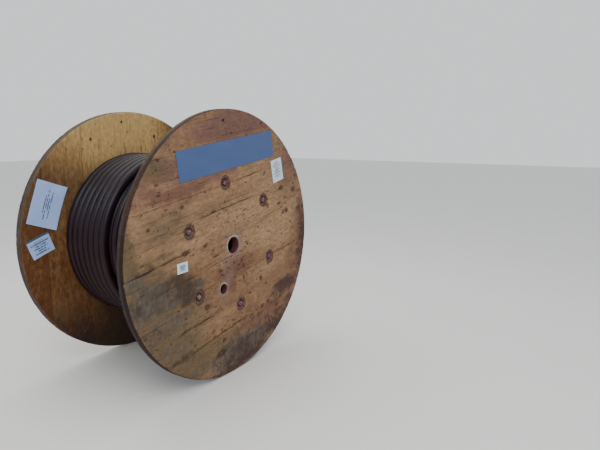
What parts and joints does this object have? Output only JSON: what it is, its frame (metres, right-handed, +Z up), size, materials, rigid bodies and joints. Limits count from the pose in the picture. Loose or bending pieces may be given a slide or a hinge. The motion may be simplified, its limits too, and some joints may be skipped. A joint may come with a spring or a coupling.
{
  "type": "wooden cable drum",
  "caption": "Wooden cable drum standing on its rims, with board flanges, a barrel, tie rods and a part winding of thick black cable.",
  "frame": {"origin": "on the floor, midway between the two flanges and under the drum's axis", "axes": "+Y along the drum's axis from the flange with the sign to the other one, +Z up, +X to the right of someone who faces the sign"},
  "size_m": [1.8, 1.048, 1.8],
  "materials": {
    "outer_boards": "weathered sawn softwood, straw and pinkish brown with grey and dark stains",
    "inner_boards": "weathered sawn softwood, warm brown",
    "barrel_boards": "sawn softwood",
    "cable_sheath": "black plastic sheath, slightly glossy",
    "rod_steel": "dull steel",
    "rusty_steel": "rusted steel",
    "sign_blue": "plain blue printed sheet, faded",
    "label_paper": "white paper in a clear sleeve"
  },
  "bodies": {
    "root": {"near_outer_board_01": "outer_boards", "near_outer_board_02": "outer_boards", "near_outer_board_03": "outer_boards", "near_outer_board_04": "outer_boards", "near_outer_board_05": "outer_boards", "near_outer_board_06": "outer_boards", "near_outer_board_07": "outer_boards", "near_outer_board_08": "outer_boards", "near_outer_board_09": "outer_boards", "near_outer_board_10": "outer_boards", "near_outer_board_11": "outer_boards", "near_inner_board_01": "inner_boards", "near_inner_board_02": "inner_boards", "near_inner_board_03": "inner_boards", "near_inner_board_04": "inner_boards", "near_inner_board_05": "inner_boards", "near_inner_board_06": "inner_boards", "near_inner_board_07": "inner_boards", "near_inner_board_08": "inner_boards", "near_inner_board_09": "inner_boards", "near_inner_board_10": "inner_boards", "near_inner_board_11": "inner_boards", "far_inner_board_01": "inner_boards", "far_inner_board_02": "inner_boards", "far_inner_board_03": "inner_boards", "far_inner_board_04": "inner_boards", "far_inner_board_05": "inner_boards", "far_inner_board_06": "inner_boards", "far_inner_board_07": "inner_boards", "far_inner_board_08": "inner_boards", "far_inner_board_09": "inner_boards", "far_inner_board_10": "inner_boards", "far_inner_board_11": "inner_boards", "far_outer_board_01": "outer_boards", "far_outer_board_02": "outer_boards", "far_outer_board_03": "outer_boards", "far_outer_board_04": "outer_boards", "far_outer_board_05": "outer_boards", "far_outer_board_06": "outer_boards", "far_outer_board_07": "outer_boards", "far_outer_board_08": "outer_boards", "far_outer_board_09": "outer_boards", "far_outer_board_10": "outer_boards", "far_outer_board_11": "outer_boards", "barrel_staves": "barrel_boards", "near_formers": "barrel_boards", "far_formers": "barrel_boards", "wound_cable": "cable_sheath", "tie_rods": "rod_steel", "near_washers": "rusty_steel", "far_washers": "rusty_steel", "near_nuts": "rusty_steel", "far_nuts": "rusty_steel", "near_sign": "sign_blue", "near_label": "label_paper", "near_tag": "label_paper", "far_sheet": "label_paper", "far_label": "label_paper"}
  },
  "joints": []
}
